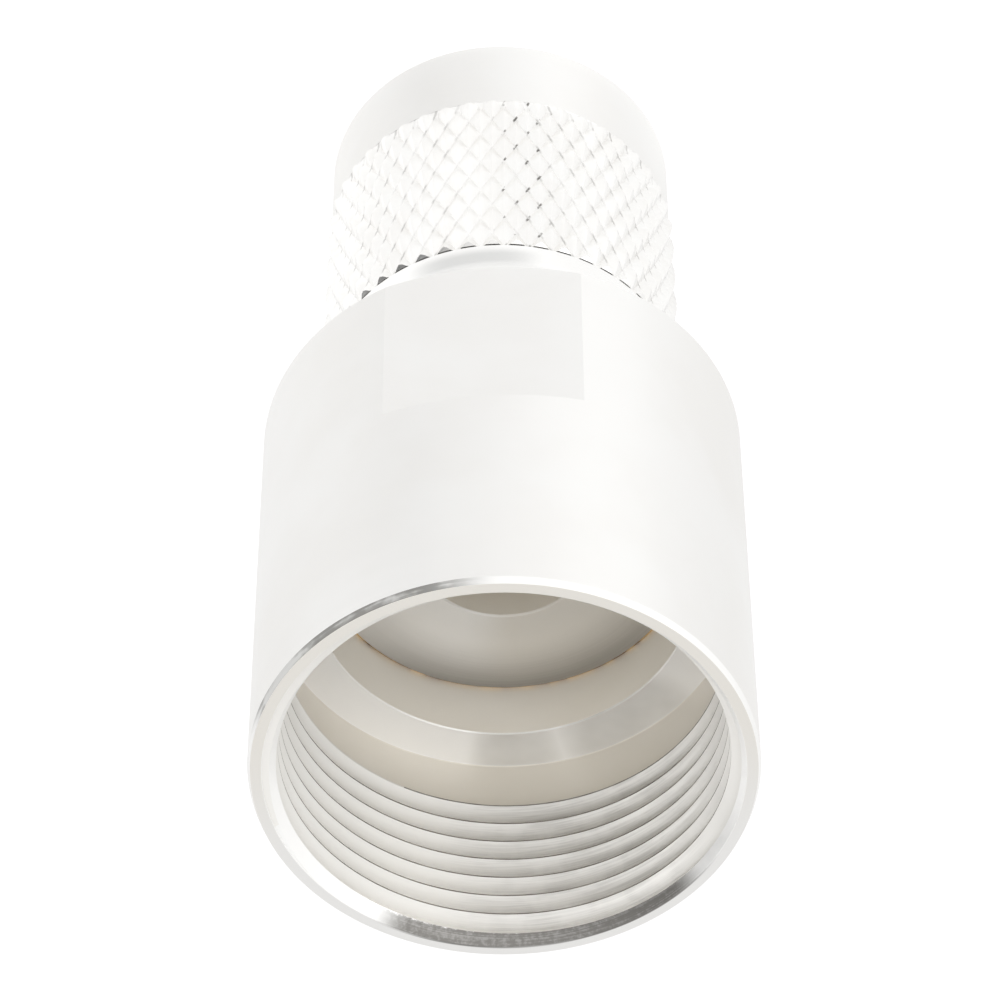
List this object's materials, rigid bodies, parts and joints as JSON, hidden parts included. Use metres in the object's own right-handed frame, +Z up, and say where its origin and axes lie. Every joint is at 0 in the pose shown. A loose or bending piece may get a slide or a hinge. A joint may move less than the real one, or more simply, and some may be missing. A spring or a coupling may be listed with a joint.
{
  "type": "tnc connector",
  "caption": "Coaxial plug body for a thick cable: a wide flatted barrel with an internally threaded cable entry, a polished collar and a knurled coupling nut that spins on the neck.",
  "frame": {"origin": "centre of the coupling nut's front face, on the connector's axis", "axes": "+Z up the axis towards the cable entry, -Y through the middle of one wrench flat"},
  "size_m": [0.019, 0.019, 0.0373],
  "materials": {
    "silver_plate": "satin silver plate over brass",
    "bronze": "bare spring bronze",
    "silicone": "matt silicone",
    "ptfe": "waxy white",
    "gold_plate": "bright gold plate over brass"
  },
  "bodies": {
    "body": {"barrel": "silver_plate", "front_body": "silver_plate", "retaining_ring": "bronze", "gasket": "silicone", "insulator": "ptfe", "centre_contact": "gold_plate"},
    "nut": {"coupling_nut": "silver_plate"}
  },
  "joints": [
    {"name": "nut_spin", "type": "hinge", "parent": "body", "child": "nut", "pos_m": [0, 0, 0], "axis": [0, 0, 1], "continuous": true}
  ]
}
